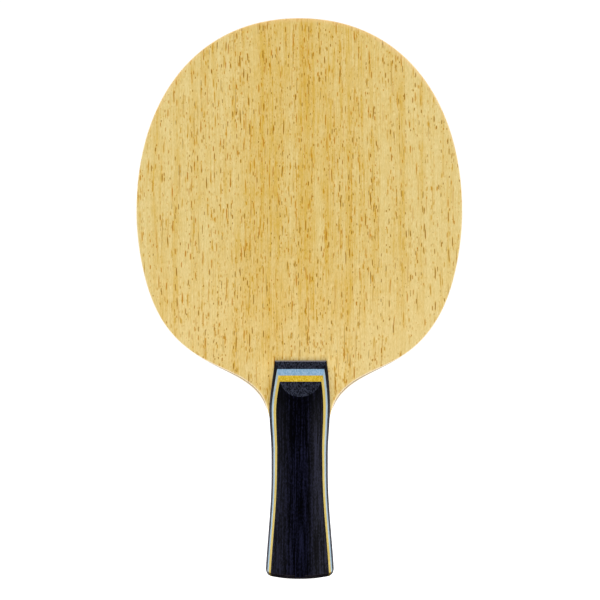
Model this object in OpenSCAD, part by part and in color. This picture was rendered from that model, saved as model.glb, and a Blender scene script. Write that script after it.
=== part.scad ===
// Composite table tennis blade with a flared handle and no rubber sheets.
//
// Millimetres. +Z runs from the butt of the handle to the tip of the head, X runs across the
// head and Y runs through its thickness. The origin is the middle of the butt, and the front
// faces -Y. Seven plies run the whole length as head and tang. Each side of the tang carries
// four handle layers, whose edges show as stripes where the handle is shaped.

/* [Head] */
// Length from the butt of the handle to the tip of the head
overall_l = 258; // [254:1:262]
// Greatest width of the head
head_w = 150; // [146:1:154]
// Height at which the head is widest
widest_z = 169; // [166:1:172]

/* [Plies] */
// Thickness of the middle ply
core_t = 3; // [2:0.1:4]
// Thickness of each inner wood ply
inner_t = 0.55; // [0.3:0.05:0.9]
// Thickness of each woven fibre layer
fibre_t = 0.25; // [0.1:0.05:0.4]
// Thickness of each outer wood ply
face_t = 0.6; // [0.4:0.05:0.9]
// Depth sanded off the faces of the head once the handle is glued on
sanding = 0.05; // [0.03:0.01:0.1]

/* [Handle] */
// Length of the handle
handle_l = 100.4; // [98:0.2:103]
// Half width of the handle at its waist
waist_half_w = 13; // [12:0.1:13.6]
// Half width that the flare adds at the butt
flare = 3.1; // [2:0.1:4]
// Half width that the swelling below the head adds
swell = 1; // [0.6:0.1:1.4]
// Half width of the handle where its lip meets the head
lip_half_w = 11.9; // [11:0.1:12.4]
// Radius of the domed butt
butt_r = 75; // [60:1:100]
// Radius of the corners of the butt
corner_r = 3.4; // [2:0.2:5]

/* [Handle layers] */
// Thickness of the dark layer next to the blade
base_t = 2.35; // [1.8:0.05:2.8]
// Thickness of the blue veneer
blue_t = 1.45; // [1:0.05:2]
// Thickness of the yellow veneer
yellow_t = 1.4; // [1:0.05:2]
// Thickness of the dark layer that forms the crown
crown_t = 3.5; // [2.8:0.1:4.2]
// Angle between the bevel at the head end and the face of the blade
bevel_angle = 26.4; // [23:0.2:32]
// Height of the blunt lip below the bevel
lip_h = 0.4; // [0.2:0.1:0.8]

/* [Hidden] */

// Distances from the middle plane of the blade to the outer side of each ply
inner_start = core_t / 2;
fibre_start = inner_start + inner_t;
face_start = fibre_start + fibre_t;
blade_half_t = face_start + face_t;

// Heights of the glue lines of the handle above the face of the blade
blue_start = base_t;
yellow_start = blue_start + blue_t;
crown_start = yellow_start + yellow_t;
crown_h = crown_start + crown_t;
handle_half_t = blade_half_t + crown_h;
// The ridge of the crown is sanded flat by this much
crown_flat = 0.02;

// The flare starts at flare_start_z and is complete below the butt, so that it is still
// opening there; the swelling grows from waist_z to swell_z and then draws in to the lip
flare_start_z = 48;
flare_run = 56;
waist_z = 57;
swell_z = 79;
lip_taper_power = 1.35;

// Exponent of the superellipse that shapes the handle's section: its value at the butt, how
// much it falls with each millimetre of height, and how much more it falls near the lip, from
// round_z over round_run. The section is boxy at the butt, rounder above and roundest at the lip
butt_power = 2.75;
power_fall = 0.007;
round_fall = 0.42;
round_z = 82;
round_run = 22;

// The sides of the handle are sanded straighter than that section, by this much halfway
// between the blade and the crown
side_flat = 0.3;

// The wings of the head leave the tang at this height, at this angle from the axis
wing_z = 74;
wing_angle = 12;

// Control lengths of the outline of the head: the crown, the side and the shoulder are one
// cubic curve each, and the side and the shoulder meet at the shoulder point
crown_pull = 48;
crown_reach = 51;
side_reach = 13;
shoulder_drop = 30;
shoulder_inset = 3.8;
shoulder_angle = 76;
shoulder_reach = 6;
shoulder_pull = 52;
wing_pull = 30;

// Number of straight steps in each stretch of the outlines and of the handle's section
crown_steps = 26;
side_steps = 8;
shoulder_steps = 30;
handle_steps = 30;
corner_steps = 5;
butt_steps = 5;
base_levels = 3;
veneer_levels = 2;
crown_levels = 12;

// The sanded area starts this far above the point where the wings leave the tang
sanding_start_z = wing_z + 1;
// Distance by which cutting shapes overrun what they cut
overrun = 5;

function ease(t) = let (c = max(0, min(1, t))) c * c * (3 - 2 * c);

function cubic(a, b, c, d, t) =
    let (s = 1 - t) s * s * s * a + 3 * s * s * t * b + 3 * s * t * t * c + t * t * t * d;

// Points of a cubic curve without its first point, so that stretches can be joined
function cubic_run(a, b, c, d, steps) = [for (i = [1:steps]) cubic(a, b, c, d, i / steps)];

function reversed(list) = [for (i = [len(list) - 1:-1:0]) list[i]];

function mirrored(list) = [for (p = list) [-p.x, p.y]];

// A closed outline from the points of its right half, given from the bottom to the top
function both_sides(right) = concat(right, reversed(mirrored(right)));

// Half width of the handle at height z, where it lies on the face of the blade
function base_half_w(z) =
    waist_half_w
    + flare * ease((flare_start_z - z) / flare_run)
    + swell * ease((z - waist_z) / (swell_z - waist_z))
    - (waist_half_w + swell - lip_half_w)
        * pow(max(0, z - swell_z) / (handle_l - swell_z), lip_taper_power);

// Exponent of the handle's section at height z
function section_power(z) =
    butt_power - power_fall * z - round_fall * ease((z - round_z) / round_run);

// Half width of a superellipse of half width 1 at the fraction f of its half height
function superellipse(f, power) = pow(1 - pow(f, power), 1 / power);

// How far the sides are sanded in, h above the face: nothing at the blade and on the crown
function sanded_in(h) = side_flat * pow(sin(180 * min(1, h / crown_start)), 2);

// Half width of the handle at height z, h above the face of the blade
function handle_half_w(z, h) =
    let (power = section_power(z))
    base_half_w(z)
    * superellipse((blade_half_t + h) / handle_half_t, power)
    / superellipse(blade_half_t / handle_half_t, power)
    - sanded_in(h);

// Height at which the handle ends, h above the face of the blade
function bevel_z(h) = handle_l - max(0, h - lip_h) / tan(bevel_angle);

// Height of the centre of a butt corner of radius r that ends at half width w
function corner_z(w, r) = butt_r - sqrt(pow(butt_r - r, 2) - pow(w - r, 2));

// Right half of the butt's outline, h above the face, from the axis to the end of the corner
function butt_run(h) =
    let (
        r = min(corner_r, handle_half_w(corner_r, h) / 2),
        guess_z = corner_z(handle_half_w(corner_r, h), r),
        w = handle_half_w(guess_z, h),
        z = corner_z(w, r),
        start_angle = atan2(z - butt_r, w - r),
        dome_w = butt_r * cos(start_angle)
    )
    concat(
        [for (i = [1:butt_steps])
            let (x = dome_w * i / butt_steps) [x, butt_r - sqrt(butt_r * butt_r - x * x)]],
        [for (i = [1:corner_steps])
            let (a = start_angle * (1 - i / corner_steps)) [w - r + r * cos(a), z + r * sin(a)]]
    );

// The butt's outline and the side of the handle above it, up to height top_z
function handle_run(h, top_z) =
    let (butt = butt_run(h), start_z = butt[len(butt) - 1].y)
    concat(
        butt,
        [for (i = [1:handle_steps])
            let (z = start_z + (top_z - start_z) * i / handle_steps) [handle_half_w(z, h), z]]
    );

// Right half of the head's outline, from the tang to the tip
function head_run() =
    let (
        half_w = head_w / 2,
        wing = [base_half_w(wing_z), wing_z],
        wing_ahead = wing + wing_pull * [sin(wing_angle), cos(wing_angle)],
        shoulder = [half_w - shoulder_inset, widest_z - shoulder_drop],
        shoulder_dir = [cos(shoulder_angle), sin(shoulder_angle)],
        widest = [half_w, widest_z]
    )
    concat(
        cubic_run(wing, wing_ahead, shoulder - shoulder_pull * shoulder_dir, shoulder,
            shoulder_steps),
        cubic_run(shoulder, shoulder + shoulder_reach * shoulder_dir,
            widest - [0, side_reach], widest, side_steps),
        cubic_run(widest, widest + [0, crown_reach], [crown_pull, overall_l],
            [0, overall_l], crown_steps)
    );

// Outline of the head and the tang in one piece; the tip is the only point on the axis
function blade_outline() =
    let (
        right = concat(handle_run(0, wing_z), head_run()),
        left = reversed([for (i = [0:len(right) - 2]) right[i]])
    )
    concat(right, mirrored(left));

// A flat shape in X and Z, from start to start + t in front of the middle plane
module in_front(start, t) {
    translate([0, -start, 0]) rotate([90, 0, 0]) linear_extrude(t) children();
}

module at_back() {
    mirror([0, 1, 0]) children();
}

module ply(start, t) {
    in_front(start, t) polygon(blade_outline());
}

// The area of the head that is sanded: everything above the wings but the handle's foot
module sanded_area() {
    top_z = overall_l + overrun;
    side_x = head_w / 2 + overrun;
    foot = [for (i = [0:handle_steps])
        let (z = sanding_start_z + (handle_l - sanding_start_z) * i / handle_steps)
        [base_half_w(z), z]];
    polygon(concat(
        foot,
        reversed(mirrored(foot)),
        [[-side_x, sanding_start_z], [-side_x, top_z], [side_x, top_z],
         [side_x, sanding_start_z]]
    ));
}

module face_ply() {
    difference() {
        ply(face_start, face_t);
        in_front(blade_half_t - sanding, overrun) sanded_area();
    }
}

// A handle layer: its outlines at each of the heights in levels, joined by triangles
module handle_layer(levels) {
    rings = [for (h = levels) both_sides(handle_run(h, bevel_z(h)))];
    n = len(rings[0]);
    last = len(levels) - 1;
    points = [for (i = [0:last]) for (p = rings[i]) [p.x, -blade_half_t - levels[i], p.y]];
    sides = [for (i = [0:last - 1]) for (j = [0:n - 1])
        let (a = i * n + j, b = i * n + (j + 1) % n, c = a + n, d = b + n)
        each [[a, b, d], [a, d, c]]];
    inner_face = [for (j = [n - 1:-1:0]) j];
    outer_face = [for (j = [0:n - 1]) last * n + j];
    polyhedron(points, concat([inner_face], sides, [outer_face]));
}

function even_levels(start, end, steps) = [for (i = [0:steps]) start + (end - start) * i / steps];

module handle_base() {
    handle_layer(concat([0], even_levels(lip_h, base_t, base_levels)));
}

module handle_veneer(start, t) {
    handle_layer(even_levels(start, start + t, veneer_levels));
}

// The levels crowd towards the crown, where the section turns over
module handle_crown() {
    rise = crown_t - crown_flat;
    handle_layer([for (i = [0:crown_levels]) crown_start + rise * sin(90 * i / crown_levels)]);
}

module core_ply() {
    color("burlywood") ply(-inner_start, core_t);
}

module front_inner_ply() {
    color("wheat") ply(inner_start, inner_t);
}

module back_inner_ply() {
    color("wheat") at_back() ply(inner_start, inner_t);
}

module front_fibre_layer() {
    color("dimgray") ply(fibre_start, fibre_t);
}

module back_fibre_layer() {
    color("dimgray") at_back() ply(fibre_start, fibre_t);
}

module front_face_ply() {
    color("khaki") face_ply();
}

module back_face_ply() {
    color("khaki") at_back() face_ply();
}

module front_handle_base() {
    color("midnightblue") handle_base();
}

module back_handle_base() {
    color("midnightblue") at_back() handle_base();
}

module front_blue_veneer() {
    color("lightskyblue") handle_veneer(blue_start, blue_t);
}

module back_blue_veneer() {
    color("lightskyblue") at_back() handle_veneer(blue_start, blue_t);
}

module front_yellow_veneer() {
    color("gold") handle_veneer(yellow_start, yellow_t);
}

module back_yellow_veneer() {
    color("gold") at_back() handle_veneer(yellow_start, yellow_t);
}

module front_handle_crown() {
    color("midnightblue") handle_crown();
}

module back_handle_crown() {
    color("midnightblue") at_back() handle_crown();
}

core_ply();
front_inner_ply();
back_inner_ply();
front_fibre_layer();
back_fibre_layer();
front_face_ply();
back_face_ply();
front_handle_base();
back_handle_base();
front_blue_veneer();
back_blue_veneer();
front_yellow_veneer();
back_yellow_veneer();
front_handle_crown();
back_handle_crown();
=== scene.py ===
import math
from collections import namedtuple

import bmesh
import bpy
import numpy as np
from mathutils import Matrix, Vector


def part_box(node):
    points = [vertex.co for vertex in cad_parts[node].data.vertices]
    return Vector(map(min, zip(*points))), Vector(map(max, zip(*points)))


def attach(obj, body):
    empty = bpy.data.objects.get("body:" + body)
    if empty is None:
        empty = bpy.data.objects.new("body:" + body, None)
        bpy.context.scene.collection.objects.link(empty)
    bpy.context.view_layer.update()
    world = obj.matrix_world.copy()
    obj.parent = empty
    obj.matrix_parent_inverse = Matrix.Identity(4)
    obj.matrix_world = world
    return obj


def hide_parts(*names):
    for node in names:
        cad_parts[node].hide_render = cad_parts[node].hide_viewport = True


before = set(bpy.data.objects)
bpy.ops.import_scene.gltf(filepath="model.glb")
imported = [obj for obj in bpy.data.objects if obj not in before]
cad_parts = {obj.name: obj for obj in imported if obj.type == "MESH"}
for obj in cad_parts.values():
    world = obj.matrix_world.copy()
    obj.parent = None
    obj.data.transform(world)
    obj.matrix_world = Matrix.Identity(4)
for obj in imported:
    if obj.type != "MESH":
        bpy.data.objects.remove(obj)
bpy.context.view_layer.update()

# The finished look of a bare composite table tennis blade. Lengths are in millimetres up to
# the point where a mesh is made. The shape functions say z for height above the butt, x for
# distance from the axis and y for distance from the middle plane, whichever side it is on.

MM = 0.001


# ---------------------------------------------------------------- sizes from the frame

def span(node, axis):
    """Lowest and highest coordinate of a CAD node along axis 0, 1 or 2, in millimetres."""
    low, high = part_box(node)
    return low[axis] / MM, high[axis] / MM


def depth(node):
    """How far a front or middle node reaches from the middle plane, near side first."""
    low, high = span(node, 1)
    return max(0.0, -high), -low


BLADE_L = span("core_ply", 2)[1]
HEAD_HALF_W = span("core_ply", 0)[1]
HANDLE_L = span("front_handle_base", 2)[1]
CORE_EDGE = depth("core_ply")[1]
INNER_EDGE = depth("front_inner_ply")[1]
FIBRE_EDGE = depth("front_fibre_layer")[1]
BLADE_HALF_T = depth("front_face_ply")[1]
BASE_EDGE = depth("front_handle_base")[1]
BLUE_EDGE = depth("front_blue_veneer")[1]
YELLOW_EDGE = depth("front_yellow_veneer")[1]
CROWN_EDGE = depth("front_handle_crown")[1]

# The head is sanded a little thinner than the tang; the handle's base reaches down to it
SANDING = 0.05
FACE_EDGE = BLADE_HALF_T - SANDING

# ---------------------------------------------------------------- shape of the handle

WAIST_HALF_W = 13.0
FLARE = 3.1
FLARE_START_Z = 48.0
FLARE_RUN = 56.0
SWELL = 1.0
WAIST_Z = 57.0
SWELL_Z = 79.0
LIP_HALF_W = 11.9
LIP_TAPER_POWER = 1.35
BUTT_R = 75.0
CORNER_R = 3.4
BUTT_POWER = 2.75
POWER_FALL = 0.007
ROUND_FALL = 0.42
ROUND_Z = 82.0
ROUND_RUN = 22.0
SIDE_FLAT = 0.3
CROWN_FLAT = 0.02
HANDLE_HALF_T = CROWN_EDGE + CROWN_FLAT
BEVEL_ANGLE = math.radians(26.4)
LIP_H = 0.4

# Rounding of the edges: round the butt, along the bevel's sides and along the lip
BUTT_EASE = 0.9
BEVEL_EASE = 0.22
LIP_EASE = 0.3

# The lip and the wings beside it were shaped by hand, a little off centre
SKEW = 0.55
SKEW_Z = 97.0
SKEW_REACH = 22.0

# ---------------------------------------------------------------- shape of the head

WING_Z = 74.0
WING_ANGLE = math.radians(12)
WIDEST_Z = 169.0
SHOULDER = (HEAD_HALF_W - 3.8, WIDEST_Z - 30.0)
SHOULDER_ANGLE = math.radians(76)
SHOULDER_REACH = 6.0
SHOULDER_PULL = 52.0
WING_PULL = 30.0
SIDE_REACH = 13.0
CROWN_REACH = 51.0
CROWN_PULL = 48.0

# The rim is eased all round, and sanded much rounder on the wings, where fingers rest
RIM_R = 0.6
WING_RIM_R = 1.9
# The rounding grows in a short run above the tang, grows to that of the wings from a little
# higher, and falls back to that of the head
RIM_GROWTH = 4.0
WING_RIM_START = 2.0
WING_RIM_GROWTH = 8.0
WING_RIM_FALL_Z = 90.0
WING_RIM_FALL = 14.0

# The upper half of the head is close to a superellipse of this power
TOP_POWER = 2.18

# Steps along the long curves of the head, along its short one and up the tang
LONG_STEPS = 110
SHORT_STEPS = 26
TANG_STEPS = 70

# Rounds of the two short iterations that find where curves of the handle meet
ROUNDS = 4


def ease(t):
    t = np.clip(t, 0.0, 1.0)
    return t * t * (3.0 - 2.0 * t)


def skew(z):
    """How far the blade leans to the right at height z."""
    return SKEW * ease(1.0 - abs(z - SKEW_Z) / SKEW_REACH)


def base_half_w(z):
    """Half width of the handle where it lies on the blade."""
    draw_in = WAIST_HALF_W + SWELL - LIP_HALF_W
    past_swell = np.maximum(0.0, z - SWELL_Z) / (HANDLE_L - SWELL_Z)
    return (WAIST_HALF_W
            + FLARE * ease((FLARE_START_Z - z) / FLARE_RUN)
            + SWELL * ease((z - WAIST_Z) / (SWELL_Z - WAIST_Z))
            - draw_in * past_swell ** LIP_TAPER_POWER)


def section_power(z):
    """Exponent of the handle's section: boxy at the butt, roundest at the lip."""
    return BUTT_POWER - POWER_FALL * z - ROUND_FALL * ease((z - ROUND_Z) / ROUND_RUN)


def superellipse(fraction, power):
    return (1.0 - fraction ** power) ** (1.0 / power)


def middle_half_w(z):
    """Half width that the handle's section would have on the middle plane."""
    return base_half_w(z) / superellipse(BLADE_HALF_T / HANDLE_HALF_T, section_power(z))


def sanded_in(y):
    """How far the sides of the handle are sanded in: nothing at the blade and on the crown."""
    t = (y - BLADE_HALF_T) / (YELLOW_EDGE - BLADE_HALF_T)
    return SIDE_FLAT * math.sin(math.pi * min(1.0, max(0.0, t))) ** 2


def handle_half_w(z, y):
    y = max(y, FACE_EDGE)
    return middle_half_w(z) * superellipse(y / HANDLE_HALF_T, section_power(z)) - sanded_in(y)


def bevel_z(y):
    """Height at which the handle ends, y from the middle plane, with the lip's edge eased."""
    above_lip = y - BLADE_HALF_T - LIP_H
    if above_lip < -LIP_EASE:
        drop = 0.0
    elif above_lip < LIP_EASE:
        drop = (above_lip + LIP_EASE) ** 2 / (4.0 * LIP_EASE)
    else:
        drop = above_lip
    return HANDLE_L - drop / math.tan(BEVEL_ANGLE)


def corner_centre():
    """Centre of the arc that rounds a corner of the butt, as x and z."""
    z = CORNER_R
    for _ in range(ROUNDS):
        x = float(base_half_w(z)) - CORNER_R
        z = BUTT_R - math.sqrt((BUTT_R - CORNER_R) ** 2 - x * x)
    return x, z


CORNER_X, CORNER_Z = corner_centre()
DOME_HALF_W = CORNER_X * BUTT_R / (BUTT_R - CORNER_R)


def butt_profile(x):
    """Height of the butt's surface: a shallow dome that ends in two rounded corners."""
    dome = BUTT_R - np.sqrt(BUTT_R ** 2 - x ** 2)
    run = np.clip(x - CORNER_X, 0.0, CORNER_R)
    corner = CORNER_Z - np.sqrt(CORNER_R ** 2 - run ** 2)
    return np.where(x > DOME_HALF_W, corner, dome)


def depth_below_side(x, y):
    """About how far a point of the butt is from the side surface of the handle."""
    a = middle_half_w(CORNER_Z)
    p = section_power(CORNER_Z)
    fx = (x + sanded_in(y)) / a
    fy = max(y, FACE_EDGE) / HANDLE_HALF_T
    inside = 1.0 - fx ** p - fy ** p
    slope = np.hypot(p / a * fx ** (p - 1.0), p / HANDLE_HALF_T * fy ** (p - 1.0))
    return np.clip(inside / slope, 0.0, None)


def butt_run(y, steps=28):
    """Right half of the butt's edge at depth y, from the axis to the side of the handle."""
    end_z = CORNER_Z + BUTT_EASE
    for _ in range(ROUNDS):
        end_x = float(handle_half_w(end_z, y))
        end_z = float(butt_profile(np.array(end_x))) + BUTT_EASE
    turn = np.linspace(0.0, math.pi / 2.0, steps + 1)
    x = end_x * np.sin(turn)
    below = np.clip(BUTT_EASE - depth_below_side(x, y), 0.0, BUTT_EASE)
    rise = BUTT_EASE - np.sqrt(BUTT_EASE ** 2 - below ** 2)
    z = butt_profile(x) + rise
    z[-1] = end_z
    return np.column_stack([x, z])


def handle_run(y, top_z, steps):
    """The butt's edge at depth y and the side of the handle above it, up to top_z."""
    butt = butt_run(y)
    z = np.linspace(butt[-1, 1], top_z, steps + 1)[1:]
    return np.vstack([butt, np.column_stack([handle_half_w(z, y), z])])


def bevel_run(y, corner_steps=4, flat_steps=5):
    """Right half of the edge where the handle ends at depth y, from its side to the axis."""
    top_z = bevel_z(y)
    r = BEVEL_EASE
    w = float(handle_half_w(top_z, y))
    turn = np.linspace(0.0, math.pi / 2.0, corner_steps + 1)[1:]
    corner = np.column_stack([w - r + r * np.cos(turn), top_z - r + r * np.sin(turn)])
    flat_x = (w - r) * (1.0 - np.linspace(0.0, 1.0, flat_steps + 1)[1:] ** 0.5)
    return np.vstack([corner, np.column_stack([flat_x, np.full(flat_steps, top_z)])])


def both_sides(right):
    """A closed outline from its right half, whose first and last points are on the axis."""
    left = right[-2:0:-1] * (-1.0, 1.0)
    return np.vstack([right, left])


def handle_outline(y, steps=96):
    return both_sides(np.vstack([handle_run(y, bevel_z(y) - BEVEL_EASE, steps), bevel_run(y)]))


def cubic_run(a, b, c, d, steps):
    """Points of a cubic curve without its first point."""
    t = np.linspace(0.0, 1.0, steps + 1)[1:, None]
    s = 1.0 - t
    a, b, c, d = (np.asarray(p, float) for p in (a, b, c, d))
    return s ** 3 * a + 3.0 * s * s * t * b + 3.0 * s * t * t * c + t ** 3 * d


def head_run():
    """Right half of the head's outline, from the tang to the tip."""
    wing = np.array([float(base_half_w(WING_Z)), WING_Z])
    wing_dir = np.array([math.sin(WING_ANGLE), math.cos(WING_ANGLE)])
    shoulder = np.array(SHOULDER)
    shoulder_dir = np.array([math.cos(SHOULDER_ANGLE), math.sin(SHOULDER_ANGLE)])
    widest = np.array([HEAD_HALF_W, WIDEST_Z])
    tip = np.array([0.0, BLADE_L])
    return np.vstack([
        cubic_run(wing, wing + WING_PULL * wing_dir, shoulder - SHOULDER_PULL * shoulder_dir,
                  shoulder, LONG_STEPS),
        cubic_run(shoulder, shoulder + SHOULDER_REACH * shoulder_dir,
                  widest - (0.0, SIDE_REACH), widest, SHORT_STEPS),
        cubic_run(widest, widest + (0.0, CROWN_REACH), tip + (CROWN_PULL, 0.0), tip,
                  LONG_STEPS),
    ])


def outward(outline):
    """Unit normals of a closed outline that runs anticlockwise in x and z."""
    along = np.roll(outline, -1, axis=0) - np.roll(outline, 1, axis=0)
    normal = np.column_stack([along[:, 1], -along[:, 0]])
    return normal / np.linalg.norm(normal, axis=1)[:, None]


def rim_radius(z):
    """Radius of the rim's rounding: none on the tang, most on the wings, little on the head."""
    growth = ease((z - WING_Z - WING_RIM_START) / WING_RIM_GROWTH)
    fall = ease((z - WING_RIM_FALL_Z) / WING_RIM_FALL)
    radius = RIM_R + (WING_RIM_R - RIM_R) * growth * (1.0 - fall)
    return radius * ease((z - WING_Z) / RIM_GROWTH)


BLADE_OUTLINE = both_sides(np.vstack([handle_run(FACE_EDGE, WING_Z, TANG_STEPS), head_run()]))
BLADE_NORMALS = outward(BLADE_OUTLINE)
BLADE_RIM_R = rim_radius(BLADE_OUTLINE[:, 1])


def blade_outline(y):
    """The blade's outline at depth y, drawn in where the rim is rounded."""
    r = BLADE_RIM_R
    over = np.clip(y - (FACE_EDGE - r), 0.0, r)
    inset = r - np.sqrt(np.maximum(r * r - over * over, 0.0))
    return BLADE_OUTLINE - BLADE_NORMALS * inset[:, None]


# ---------------------------------------------------------------- meshes

def loft(name, outlines, depths, side):
    """A closed solid through outlines at given depths on one side (-1 is the front)."""
    mesh = bmesh.new()
    rings = []
    for outline, y in zip(outlines, depths):
        rings.append([mesh.verts.new(((x + skew(z)) * MM, side * y * MM, z * MM))
                      for x, z in outline])
    count = len(rings[0])
    for near, far in zip(rings, rings[1:]):
        for i in range(count):
            j = (i + 1) % count
            mesh.faces.new((near[i], near[j], far[j], far[i])).smooth = True
    for ring in (rings[0], rings[-1]):
        mesh.faces.new(ring)
        for i in range(count):
            mesh.edges.get((ring[i], ring[(i + 1) % count])).smooth = False
    bmesh.ops.recalc_face_normals(mesh, faces=mesh.faces)
    data = bpy.data.meshes.new(name)
    mesh.to_mesh(data)
    mesh.free()
    piece = bpy.data.objects.new(name, data)
    bpy.context.scene.collection.objects.link(piece)
    return piece


def finish_piece(piece, node, material):
    piece.data.materials.append(material)
    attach(piece, "root")
    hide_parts(node)


def ply_depths(near, far, steps=8):
    """Depths through a ply, crowding towards its outer side where the rim is rounded."""
    return near + (far - near) * np.sin(np.linspace(0.0, math.pi / 2.0, steps + 1))


def build_ply(name, node, near, far, side, material):
    depths = ply_depths(near, far)
    piece = loft(name, [blade_outline(y) for y in depths], depths, side)
    finish_piece(piece, node, material)


def build_core(material):
    half = ply_depths(0.0, CORE_EDGE)
    depths = np.concatenate([-half[:0:-1], half])
    piece = loft("core", [blade_outline(abs(y)) for y in depths], depths, 1)
    finish_piece(piece, "core_ply", material)


def build_handle_layer(name, node, depths, side, material):
    piece = loft(name, [handle_outline(y) for y in depths], depths, side)
    finish_piece(piece, node, material)


# ---------------------------------------------------------------- materials

class Graph:
    """Short calls that build the node tree of a material or of the world.

    Any input takes a socket or a plain value.
    """

    def __init__(self, owner):
        owner.use_nodes = True
        self.owner = owner
        self.tree = owner.node_tree
        self.tree.nodes.clear()

    def put(self, socket, value):
        if isinstance(value, bpy.types.NodeSocket):
            self.tree.links.new(value, socket)
        elif value is not None:
            socket.default_value = value

    def node(self, kind, **settings):
        made = self.tree.nodes.new(kind)
        for key, value in settings.items():
            setattr(made, key, value)
        return made

    def math(self, operation, a, b=None):
        made = self.node("ShaderNodeMath", operation=operation)
        self.put(made.inputs[0], a)
        self.put(made.inputs[1], b)
        return made.outputs[0]

    def add(self, a, b):
        return self.math("ADD", a, b)

    def sub(self, a, b):
        return self.math("SUBTRACT", a, b)

    def mul(self, a, b):
        return self.math("MULTIPLY", a, b)

    def magnitude(self, a):
        return self.math("ABSOLUTE", a)

    def ramp(self, value, low, high, to_low=0.0, to_high=1.0, kind="SMOOTHSTEP"):
        """A step of value from low to high, smooth unless kind says otherwise."""
        made = self.node("ShaderNodeMapRange", interpolation_type=kind)
        for socket, item in zip(made.inputs, (value, low, high, to_low, to_high)):
            self.put(socket, item)
        return made.outputs[0]

    def mix(self, factor, a, b, blend="MIX"):
        made = self.node("ShaderNodeMix", data_type="RGBA", blend_type=blend)
        self.put(made.inputs[0], factor)
        self.put(made.inputs[6], a)
        self.put(made.inputs[7], b)
        return made.outputs[2]

    def tint(self, colour, red, green, blue):
        """The colour with each channel multiplied."""
        return self.mix(1.0, colour, self.join(red, green, blue), blend="MULTIPLY")

    def split(self, vector):
        made = self.node("ShaderNodeSeparateXYZ")
        self.put(made.inputs[0], vector)
        return made.outputs

    def join(self, x, y, z=0.0):
        made = self.node("ShaderNodeCombineXYZ")
        for socket, value in zip(made.inputs, (x, y, z)):
            self.put(socket, value)
        return made.outputs[0]

    def noise(self, vector, detail=2.0, roughness=0.5):
        """Noise with features about one unit of vector wide."""
        made = self.node("ShaderNodeTexNoise")
        self.put(made.inputs["Vector"], vector)
        self.put(made.inputs["Scale"], 1.0)
        self.put(made.inputs["Detail"], detail)
        self.put(made.inputs["Roughness"], roughness)
        return made.outputs[0]

    def grain(self, x, z, per_x, per_z, seed=0.0, detail=2.0, roughness=0.5):
        """Noise on a face, with about per_x and per_z features to the millimetre."""
        where = self.join(self.mul(x, per_x), self.mul(z, per_z), seed)
        return self.noise(where, detail, roughness)

    def grain_through(self, place, per_xy, per_z, detail=2.0, roughness=0.5):
        """Noise through the wood's thickness, drawn out along the height."""
        x, y, z = place
        where = self.join(self.mul(x, per_xy), self.mul(y, per_xy), self.mul(z, per_z))
        return self.noise(where, detail, roughness)

    def cells(self, vector):
        """Random cells in the first two coordinates: centre of the cell, random colour."""
        made = self.node("ShaderNodeTexVoronoi", voronoi_dimensions="2D")
        self.put(made.inputs["Vector"], vector)
        self.put(made.inputs["Scale"], 1.0)
        return made.outputs["Position"], made.outputs["Color"]

    def place(self):
        """Object coordinates in millimetres, as three sockets."""
        where = self.node("ShaderNodeTexCoord").outputs["Object"]
        return tuple(self.mul(part, 1.0 / MM) for part in self.split(where))

    def normal(self):
        return self.split(self.node("ShaderNodeTexCoord").outputs["Normal"])

    def end_grain(self):
        """1 where the surface cuts across the grain, which runs along z, and 0 along it."""
        return self.ramp(self.magnitude(self.normal()[2]), 0.14, 0.42)

    def principled(self, colour, roughness, specular):
        shader = self.node("ShaderNodeBsdfPrincipled")
        self.put(shader.inputs["Base Color"], colour)
        self.put(shader.inputs["Roughness"], roughness)
        self.put(shader.inputs["Specular IOR Level"], specular)
        return shader

    def surface(self, colour, roughness, height, specular=0.5):
        """Ends the tree: colour, roughness, and a height in millimetres for the bump."""
        shader = self.principled(colour, roughness, specular)
        bump = self.node("ShaderNodeBump")
        self.put(bump.inputs["Strength"], 1.0)
        self.put(bump.inputs["Distance"], MM)
        self.put(bump.inputs["Height"], height)
        self.put(shader.inputs["Normal"], bump.outputs[0])
        self.put(self.node("ShaderNodeOutputMaterial").inputs[0], shader.outputs[0])
        return self.owner


def material_graph(name):
    return Graph(bpy.data.materials.new(name))


def srgb(r, g, b):
    """A colour given in 0 to 255 display values, as the linear colour that shaders use."""
    linear = []
    for value in (r, g, b):
        v = value / 255.0
        linear.append(v / 12.92 if v <= 0.04045 else ((v + 0.055) / 1.055) ** 2.4)
    return (*linear, 1.0)


# Vessel lines come in kinds. Each has the size of its random cells, the half sizes of its
# largest line, its place in the random pattern, and the strength of the line and of its stain.
Pores = namedtuple("Pores", "cell_w cell_h half_w half_l offset strength stain")
LONG_FAINT_LINES = Pores(2.4, 20.0, 0.19, 8.5, 37.1, 0.5, 0.2)
SPECKS = Pores(1.2, 3.0, 0.18, 0.95, 51.7, 0.45, 0.2)
SHORT_DASHES = Pores(1.5, 5.2, 0.19, 1.9, 23.9, 0.88, 0.3)
STRONG_DASHES = Pores(2.2, 9.0, 0.2, 3.5, 11.3, 1.0, 0.45)
# The shortest and the narrowest lines of a kind, as parts of its largest, and the most that a
# line leans to either side of the grain
SHORTEST = 0.25
NARROWEST = 0.65
LEAN = 0.04

PALE_WOOD = srgb(232, 209, 142)
GOLDEN_WOOD = srgb(217, 176, 70)
GOLDEN_PORE = srgb(192, 140, 0)
ORANGE_PORE = srgb(188, 114, 0)
BROWN_PORE = srgb(148, 99, 0)
PORE_STAIN = srgb(223, 172, 36)
# Pale sanded wood, also standing in as painted rim light on the rounded rim
SANDED_AND_LIT_RIM = srgb(255, 238, 208)
# Colour of the painted highlight on the rim of the head's upper half
TOP_RIM_HIGHLIGHT = srgb(255, 214, 158)

# The back shows another part of the same veneer, this far across it
BACK_SHIFT = 41.7
# The grain wanders over a band this wide, and ripples over one this wide
WANDER = 4.0
RIPPLE = 0.3
# The tone is most golden along one line of the head, and the pores are densest along another
GOLDEN_X = 6.0
DENSEST_X = -8.0
MIDDLE_TONE = 0.39
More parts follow.
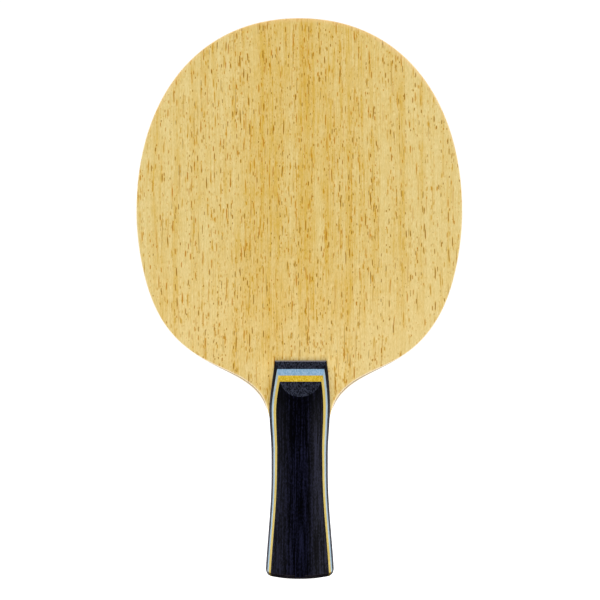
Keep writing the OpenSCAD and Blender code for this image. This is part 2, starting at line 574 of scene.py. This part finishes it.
# Towards the handle the veneer is redder, from the first of these heights down to the second
WARM_START_Z = 165.0
WARM_FULL_Z = 110.0
WARM_RED = 1.04
WARM_GREEN = 1.015


def veneer_tone(g, x, grain_x, z, band):
    """How golden the face veneer is, from 0 to 1: bands along the grain, paler to the sides."""
    broad = g.grain(grain_x, z, 0.075, 0.004, detail=1.0)
    stripe = g.grain(grain_x, z, 0.36, 0.002, seed=21.0, detail=1.0)
    line = g.grain(grain_x, z, 2.3, 0.035, seed=3.0, roughness=0.75)
    mottle = g.grain(grain_x, z, 1.1, 0.8, seed=9.0, detail=3.0, roughness=0.6)
    blotch = g.grain(grain_x, z, 0.22, 0.1, seed=17.0, detail=1.0)
    tone = MIDDLE_TONE
    for noise, weight in ((broad, 0.6), (band, 0.45), (line, 1.5), (mottle, 0.4), (blotch, 0.5)):
        tone = g.add(tone, g.mul(g.sub(noise, 0.5), weight))
    tone = g.add(tone, g.ramp(stripe, 0.45, 0.75, -0.04, 0.18))
    from_golden = g.magnitude(g.sub(x, GOLDEN_X))
    tone = g.add(tone, g.ramp(from_golden, 12.0, 70.0, 0.1, -0.18))
    tone = g.add(tone, g.ramp(x, -55.0, 55.0, 0.05, -0.05))
    low = g.mul(g.ramp(z, 140.0, 95.0), g.ramp(x, -20.0, 5.0, 0.6, 1.0))
    return g.ramp(g.add(tone, g.mul(low, -0.25)), 0.0, 1.0)


def pore_richness(g, x, grain_x, z, band):
    """The part of the random cells that hold a vessel line: columns, fewer to the sides."""
    column = g.grain(grain_x, z, 0.75, 0.014, seed=13.0, detail=1.0)
    rich = g.add(g.ramp(band, 0.35, 0.66, 0.03, 0.31), g.ramp(column, 0.38, 0.62, 0.0, 0.72))
    from_densest = g.magnitude(g.sub(x, DENSEST_X))
    return g.mul(rich, g.ramp(from_densest, 12.0, 65.0, 1.05, 0.6))


def pores(g, x, z, kind, rich):
    """One dash of a kind in each cell that holds one; rich is the part of the cells that do.

    Returns the mask of the dashes, the mask of their stains and a random number for each dash.
    """
    across = g.add(g.mul(x, 1.0 / kind.cell_w), kind.offset)
    along = g.add(g.mul(z, 1.0 / kind.cell_h), kind.offset * 1.7)
    centre, random_colour = g.cells(g.join(across, along))
    centre_x, centre_z, _ = g.split(centre)
    first, second, third = g.split(random_colour)
    dx = g.mul(g.sub(across, centre_x), kind.cell_w)
    dz = g.mul(g.sub(along, centre_z), kind.cell_h)
    lean = g.mul(g.sub(second, 0.5), 2.0 * LEAN)
    dx = g.magnitude(g.add(dx, g.mul(dz, lean)))
    length_part = g.add(g.mul(g.mul(first, first), 1.0 - SHORTEST), SHORTEST)
    length = g.mul(length_part, kind.half_l)
    reach = g.math("DIVIDE", dz, length)
    squared = g.mul(reach, reach)
    taper = g.sub(1.0, g.mul(squared, squared))
    width = g.mul(g.add(g.mul(third, 1.0 - NARROWEST), NARROWEST), kind.half_w)
    inside = g.sub(g.mul(taper, width), dx)
    chance = g.math("FRACT", g.mul(second, 7.31))
    present = g.ramp(g.sub(rich, chance), 0.0, 0.04)
    dash = g.mul(g.ramp(inside, -0.03, 0.04), present)
    stain = g.mul(g.ramp(inside, -0.5, 0.0), present)
    return dash, stain, third


def top_rim_highlight(g, x, z):
    """Painted highlight: 1 at most on the rim of the head's upper half, where the edge takes the
    light.
    """
    across = g.magnitude(g.mul(x, 1.0 / HEAD_HALF_W))
    upward = g.mul(g.sub(z, WIDEST_Z), 1.0 / (BLADE_L - WIDEST_Z))
    upward = g.math("MAXIMUM", upward, 0.0)
    reach = g.add(g.math("POWER", across, TOP_POWER), g.math("POWER", upward, TOP_POWER))
    rim = g.mul(g.ramp(reach, 0.94, 1.0), g.ramp(upward, 0.1, 0.7))
    return g.mul(rim, g.ramp(x, -60.0, 20.0, 0.6, 1.0))


def lip_painted_shade(g, x, z):
    """Brightness of the veneer round the lip: a painted shadow just above it, and painted light
    that pales the veneer beside it.
    """
    above_lip = g.ramp(g.sub(z, HANDLE_L), -1.5, 2.8, 0.5, 1.0)
    from_lip = g.magnitude(g.sub(x, SKEW))
    beside = g.ramp(from_lip, LIP_HALF_W - 0.4, LIP_HALF_W + 1.0)
    painted_light = g.mul(g.ramp(from_lip, 24.0, 14.0), g.ramp(z, 106.0, 97.0))
    return g.add(g.math("MAXIMUM", above_lip, beside), g.mul(painted_light, 0.12))


def face_wood():
    """Pale open-pored veneer: straight grain, soft golden bands and brown vessel lines."""
    g = material_graph("face_wood")
    x, y, z = g.place()
    across_face = g.magnitude(g.normal()[1])
    behind = g.ramp(y, -0.1, 0.1, 0.0, BACK_SHIFT)
    drift = g.grain(x, z, 0.03, 0.01, seed=behind, detail=1.0)
    ripple = g.grain(x, z, 0.5, 0.22, seed=behind, detail=0.0)
    x = g.add(x, g.mul(g.sub(drift, 0.5), WANDER))
    x = g.add(x, g.mul(g.sub(ripple, 0.5), RIPPLE))
    grain_x = g.add(x, behind)

    band = g.grain(grain_x, z, 0.32, 0.009, seed=7.0)
    colour = g.mix(veneer_tone(g, x, grain_x, z, band), PALE_WOOD, GOLDEN_WOOD)
    warm_red = g.ramp(z, WARM_START_Z, WARM_FULL_Z, 1.0, WARM_RED)
    warm_green = g.ramp(z, WARM_START_Z, WARM_FULL_Z, 1.0, WARM_GREEN)
    colour = g.tint(colour, warm_red, warm_green, 1.0)
    fibre = g.grain(grain_x, z, 2.5, 0.42, seed=5.0, roughness=0.75)
    shade = g.add(0.76, g.mul(fibre, 0.46))
    colour = g.tint(colour, shade, g.math("POWER", shade, 1.35), g.math("POWER", shade, 2.8))

    facing = g.ramp(across_face, 0.2, 0.7)
    rich = pore_richness(g, x, grain_x, z, band)
    deepest = 0.0
    for kind in (LONG_FAINT_LINES, SPECKS, SHORT_DASHES, STRONG_DASHES):
        dash, stain, pick = pores(g, grain_x, z, kind, rich)
        dash = g.mul(g.mul(dash, facing), kind.strength)
        hue = g.mix(g.ramp(pick, 0.1, 0.5), GOLDEN_PORE, ORANGE_PORE)
        hue = g.mix(g.ramp(pick, 0.5, 0.8), hue, BROWN_PORE)
        colour = g.mix(g.mul(stain, kind.stain), colour, PORE_STAIN)
        colour = g.mix(dash, colour, hue)
        deepest = g.math("MAXIMUM", deepest, dash)

    # The rounded rim is paler where it is sanded and lightened further as painted rim light, most
    # on the wings
    sanded_and_lit = g.mul(g.ramp(across_face, 0.7, 0.99, 1.0, 0.0), g.ramp(z, 100.0, 125.0, 0.85, 0.5))
    colour = g.mix(sanded_and_lit, colour, SANDED_AND_LIT_RIM)
    # Painted highlight along the top of the head's rim, stronger to the right
    colour = g.mix(g.mul(top_rim_highlight(g, x, z), 0.4), colour, TOP_RIM_HIGHLIGHT)
    # Painted shadow above the lip, and painted light on the veneer beside the handle
    lip_shade = lip_painted_shade(g, x, z)
    colour = g.tint(colour, lip_shade, lip_shade, lip_shade)
    height = g.sub(g.mul(fibre, 0.012), g.mul(deepest, 0.04))
    return g.surface(colour, g.add(0.55, g.mul(deepest, 0.25)), height, specular=0.25)


def plain_wood(name, light, dark, grain_w):
    """Close-grained inner plies: streaks along z, darker where the rim cuts the grain."""
    g = material_graph(name)
    place = g.place()
    broad = g.grain_through(place, 0.3 / grain_w, 0.01)
    streak = g.grain_through(place, 1.0 / grain_w, 0.06, detail=3.0, roughness=0.65)
    tone = g.ramp(g.add(g.mul(broad, 0.45), g.mul(streak, 0.55)), 0.32, 0.68)
    colour = g.mix(tone, light, dark)
    colour = g.mix(g.mul(g.end_grain(), 0.35), colour, dark)
    return g.surface(colour, 0.62, g.mul(streak, -0.02), specular=0.3)


YARN_PITCH = 0.9


def woven_fibre():
    """Dark fibre cloth set in resin: warp and weft yarns, with glossy resin between."""
    g = material_graph("woven_fibre")
    x, _, z = g.place()
    warp, weft = (g.ramp(g.math("SINE", g.mul(along, 2.0 * math.pi / YARN_PITCH)), -0.6, 0.8)
                  for along in (x, z))
    weave = g.math("MAXIMUM", g.mul(warp, 0.8), weft)
    colour = g.mix(weave, srgb(58, 58, 64), srgb(120, 118, 118))
    roughness = g.add(0.35, g.mul(weave, 0.25))
    return g.surface(colour, roughness, g.mul(weave, 0.015))


# Colours of a dyed veneer, each from its darkest to its lightest: along the grain, and where
# the bevel cuts across it. Edge line is the lighter line round the butt; sheen is painted sheen
# on the sides.
Dye = namedtuple("Dye", "deep light cut_deep cut_light worn rubbed")
DARK_DYE = Dye(srgb(0, 0, 3), srgb(25, 26, 47), srgb(0, 0, 4), srgb(53, 57, 72),
               srgb(52, 44, 44), 0.044)
BLUE_DYE = Dye(srgb(160, 186, 204), srgb(186, 206, 218), srgb(118, 160, 196),
               srgb(156, 188, 216), srgb(120, 112, 100), 0.0)
YELLOW_DYE = Dye(srgb(204, 180, 94), srgb(224, 202, 128), srgb(198, 160, 26),
                 srgb(230, 200, 78), srgb(150, 112, 60), 0.0)
# Grey towards which painted sheen lightens the handle's sides
SHEEN_GREY = srgb(150, 150, 160)
# Colour of the painted shade on the butt's down-facing eased edge
DOWNWARD_SHADE = srgb(8, 6, 9)
# Colour of the painted highlight on the lip's eased top edge
LIP_HIGHLIGHT = srgb(150, 146, 148)


def painted_side_sheen(g, x, z, normal_x, along, rubbed):
    """Painted sheen: how far a veneer is lightened on its flanks, the right one most, and its
    side edges.
    """
    flanks = g.add(g.ramp(x, 2.5, 8.5, 0.0, rubbed), g.ramp(x, -2.5, -9.0, 0.0, 0.5 * rubbed))
    flanks = g.mul(flanks, g.ramp(z, 94.0, 68.0))
    edges = g.ramp(g.magnitude(normal_x), 0.6, 0.93)
    edges = g.mul(edges, g.ramp(z, 96.0, 66.0, 1.6 * rubbed, 6.0 * rubbed))
    return g.mul(g.math("MAXIMUM", flanks, edges), g.ramp(along, 0.4, 0.6, 0.4, 1.35))


def edge_shade_and_glint(g, colour, normal_z, speck, worn):
    """Painted shade darkens the eased edge round the butt from a lighter line on; a painted
    highlight pales the lip.
    """
    down = g.mul(normal_z, -1.0)
    # Painted shade on the down-facing eased edge and the butt
    down_shade = g.mul(g.ramp(down, 0.16, 0.34), g.ramp(down, 1.0, 0.9, 0.35, 0.85))
    colour = g.mix(down_shade, colour, DOWNWARD_SHADE)
    # A lighter speckled line where the eased edge starts to turn down
    line = g.mul(g.ramp(down, 0.1, 0.18), g.ramp(down, 0.4, 0.25))
    colour = g.mix(g.mul(line, g.ramp(speck, 0.35, 0.6)), colour, worn)
    # Painted highlight along the lip's eased top edge
    lip_glint = g.mul(g.ramp(normal_z, 0.47, 0.56), g.ramp(normal_z, 0.9995, 0.98))
    return g.mix(g.mul(lip_glint, g.ramp(speck, 0.3, 0.6, 0.4, 0.9)), colour, LIP_HIGHLIGHT)


def dyed_wood(name, dye):
    """Dyed handle veneer: fine streaks along z, speckled where it is cut across the grain."""
    g = material_graph(name)
    place = g.place()
    x, _, z = place
    normal_x, _, normal_z = g.normal()
    streak = g.grain_through(place, 1.3, 0.04, detail=3.0, roughness=0.65)
    fine = g.grain_through(place, 1.9, 0.8, roughness=0.75)
    speck = g.grain_through(place, 1.8, 0.5, roughness=0.8)
    # Darker towards the top of the handle
    top_darkening = g.ramp(z, 84.0, 50.0, -0.05, 0.005)
    along = g.add(g.add(g.mul(streak, 0.6), g.mul(fine, 0.4)), top_darkening)
    side = g.mix(g.ramp(along, 0.45, 0.62), dye.deep, dye.light)
    # Painted sheen lightens the flanks and the side edges
    side = g.mix(painted_side_sheen(g, x, z, normal_x, along, dye.rubbed), side, SHEEN_GREY)
    cut = g.mix(g.ramp(speck, 0.38, 0.62), dye.cut_deep, dye.cut_light)
    cut_across = g.end_grain()
    colour = g.mix(cut_across, side, cut)
    # Painted shade on the butt's eased edge, painted highlight on the lip's edge
    colour = edge_shade_and_glint(g, colour, normal_z, speck, dye.worn)
    height = g.add(g.mul(along, 0.03), g.mul(speck, 0.01))
    return g.surface(colour, g.add(0.4, g.mul(cut_across, 0.2)), height, specular=0.02)


FACE_WOOD = face_wood()
INNER_WOOD = plain_wood("inner_wood", srgb(236, 214, 164), srgb(214, 182, 122), 0.5)
CORE_WOOD = plain_wood("core_wood", srgb(232, 210, 168), srgb(208, 178, 128), 0.8)
FIBRE = woven_fibre()
DARK_WOOD = dyed_wood("dark_wood", DARK_DYE)
BLUE_WOOD = dyed_wood("blue_veneer", BLUE_DYE)
YELLOW_WOOD = dyed_wood("yellow_veneer", YELLOW_DYE)

# ---------------------------------------------------------------- the object

def base_depths(lip_steps=4, flat_steps=6):
    """Depths through the handle's base, close together where the lip's edge is eased."""
    lip_y = BLADE_HALF_T + LIP_H
    return np.concatenate([
        [FACE_EDGE],
        lip_y + LIP_EASE * np.linspace(-1.0, 1.0, lip_steps + 1),
        np.linspace(lip_y + LIP_EASE, BASE_EDGE, flat_steps + 1)[1:],
    ])


def veneer_depths(near, far, steps=4):
    return np.linspace(near, far, steps + 1)


def crown_depths(steps=30):
    """Depths through the crown, closer together towards its rounded top."""
    turn = np.linspace(0.0, math.pi / 2.0, steps + 1)
    return YELLOW_EDGE + (CROWN_EDGE - YELLOW_EDGE) * np.sin(turn)


def build_half(word, side):
    """All layers in front of the core or behind it, from the core out."""
    for layer, node, near, far, material_slot, material in (
            ("inner", "inner_ply", CORE_EDGE, INNER_EDGE, "inner_wood", INNER_WOOD),
            ("fibre", "fibre_layer", INNER_EDGE, FIBRE_EDGE, "fibre", FIBRE),
            ("face", "face_ply", FIBRE_EDGE, FACE_EDGE, "face_wood", FACE_WOOD)):
        build_ply(word + "_" + layer, word + "_" + node, near, far, side,
                  material)
    for layer, node, depths, material_slot, material in (
            ("base", "handle_base", base_depths(), "dark_wood", DARK_WOOD),
            ("blue", "blue_veneer", veneer_depths(BASE_EDGE, BLUE_EDGE),
             "blue_veneer", BLUE_WOOD),
            ("yellow", "yellow_veneer", veneer_depths(BLUE_EDGE, YELLOW_EDGE),
             "yellow_veneer", YELLOW_WOOD),
            ("crown", "handle_crown", crown_depths(), "dark_wood", DARK_WOOD)):
        build_handle_layer(word + "_" + layer, word + "_" + node, depths, side,
                           material)


build_core(CORE_WOOD)
build_half("front", -1)
build_half("back", 1)

# ---------------------------------------------------------------- stage, light and camera

# Lengths of the stage and the lamps are in metres, and the lamps' powers in watts
FLOOR_R = 12.0
WHITE = 1.05
FLOOR_LIGHT = 0.55
FACING_LIGHT = 0.04
SIDE_LIGHT = 1.35
SOFTBOX_X = 1.5
SOFTBOX_Y = 1.3
SOFTBOX_Z = 0.9
SOFTBOX_SIZE = (1.0, 1.4)
LEFT_POWER = 9.0
RIGHT_POWER = 10.5
TOP_BOX_Z = 1.9
TOP_BOX_SIZE = (1.4, 1.4)
TOP_BOX_POWER = 4.7


def white_to_camera(g, light):
    """A socket that is WHITE where the camera looks straight at a surface, and else light."""
    seen = g.node("ShaderNodeMix")
    g.put(seen.inputs[0], g.node("ShaderNodeLightPath").outputs["Is Camera Ray"])
    g.put(seen.inputs[2], light)
    g.put(seen.inputs[3], WHITE)
    return seen.outputs[0]


def floor_white():
    g = material_graph("floor_white")
    shader = g.principled((0.5, 0.5, 0.5, 1.0), 0.9, 0.0)
    g.put(shader.inputs["Emission Color"], (1.0, 1.0, 1.0, 1.0))
    g.put(shader.inputs["Emission Strength"], white_to_camera(g, FLOOR_LIGHT))
    g.put(g.node("ShaderNodeOutputMaterial").inputs[0], shader.outputs[0])
    return g.owner


def build_floor():
    """A white floor that still takes the object's soft shadow."""
    mesh = bmesh.new()
    bmesh.ops.create_circle(mesh, cap_ends=True, radius=FLOOR_R, segments=96)
    data = bpy.data.meshes.new("floor")
    mesh.to_mesh(data)
    mesh.free()
    data.materials.append(floor_white())
    floor = bpy.data.objects.new("floor", data)
    bpy.context.scene.collection.objects.link(floor)


def soft_box(name, place, target, size, power):
    light = bpy.data.lights.new(name, "AREA")
    light.shape = "RECTANGLE"
    light.size, light.size_y = size
    light.energy = power
    lamp = bpy.data.objects.new(name, light)
    bpy.context.scene.collection.objects.link(lamp)
    lamp.location = place
    lamp.rotation_mode = "QUATERNION"
    lamp.rotation_quaternion = (Vector(target) - Vector(place)).to_track_quat("-Z", "Y")
    lamp.visible_camera = False


def build_lamps():
    """Two soft boxes in front, two behind, and one overhead, all aimed at the middle."""
    middle = (0.0, 0.0, 0.5 * BLADE_L * MM)
    for word, y in (("front", -SOFTBOX_Y), ("back", SOFTBOX_Y)):
        soft_box(word + "_left_softbox", (-SOFTBOX_X, y, SOFTBOX_Z), middle, SOFTBOX_SIZE,
                 LEFT_POWER)
        soft_box(word + "_right_softbox", (SOFTBOX_X, y, SOFTBOX_Z), middle, SOFTBOX_SIZE,
                 RIGHT_POWER)
    soft_box("top_softbox", (0.0, 0.0, TOP_BOX_Z), middle, TOP_BOX_SIZE, TOP_BOX_POWER)


def build_world():
    """White all round for the camera; as light, bright at the sides, dim in front and behind."""
    world = bpy.data.worlds.new("studio")
    bpy.context.scene.world = world
    g = Graph(world)
    direction = g.split(g.node("ShaderNodeTexCoord").outputs["Generated"])
    light = g.ramp(g.magnitude(direction[1]), 0.15, 0.75, SIDE_LIGHT, FACING_LIGHT, kind="LINEAR")
    background = g.node("ShaderNodeBackground")
    g.put(background.inputs["Color"], (1.0, 1.0, 1.0, 1.0))
    g.put(background.inputs["Strength"], white_to_camera(g, light))
    g.put(g.node("ShaderNodeOutputWorld").inputs[0], background.outputs[0])


# The picture is 276.2 mm high at the middle plane of the blade, taken from far away
FRAME_H = 276.2
FRAME_CENTRE = (0.25, 128.25)
LENS = 1000.0
SENSOR = 36.0
ROLL = math.radians(0.08)


def build_camera():
    camera = bpy.data.objects.new("camera", bpy.data.cameras.new("camera"))
    bpy.context.scene.collection.objects.link(camera)
    camera.data.lens = LENS
    camera.data.sensor_width = SENSOR
    distance = FRAME_H * LENS / SENSOR
    centre_x, centre_z = FRAME_CENTRE
    camera.location = (centre_x * MM, -distance * MM, centre_z * MM)
    camera.rotation_euler = (math.radians(90), ROLL, 0.0)
    return camera


build_floor()
build_world()
build_lamps()
bpy.context.scene.view_settings.view_transform = "Standard"
bpy.context.scene.camera = build_camera()
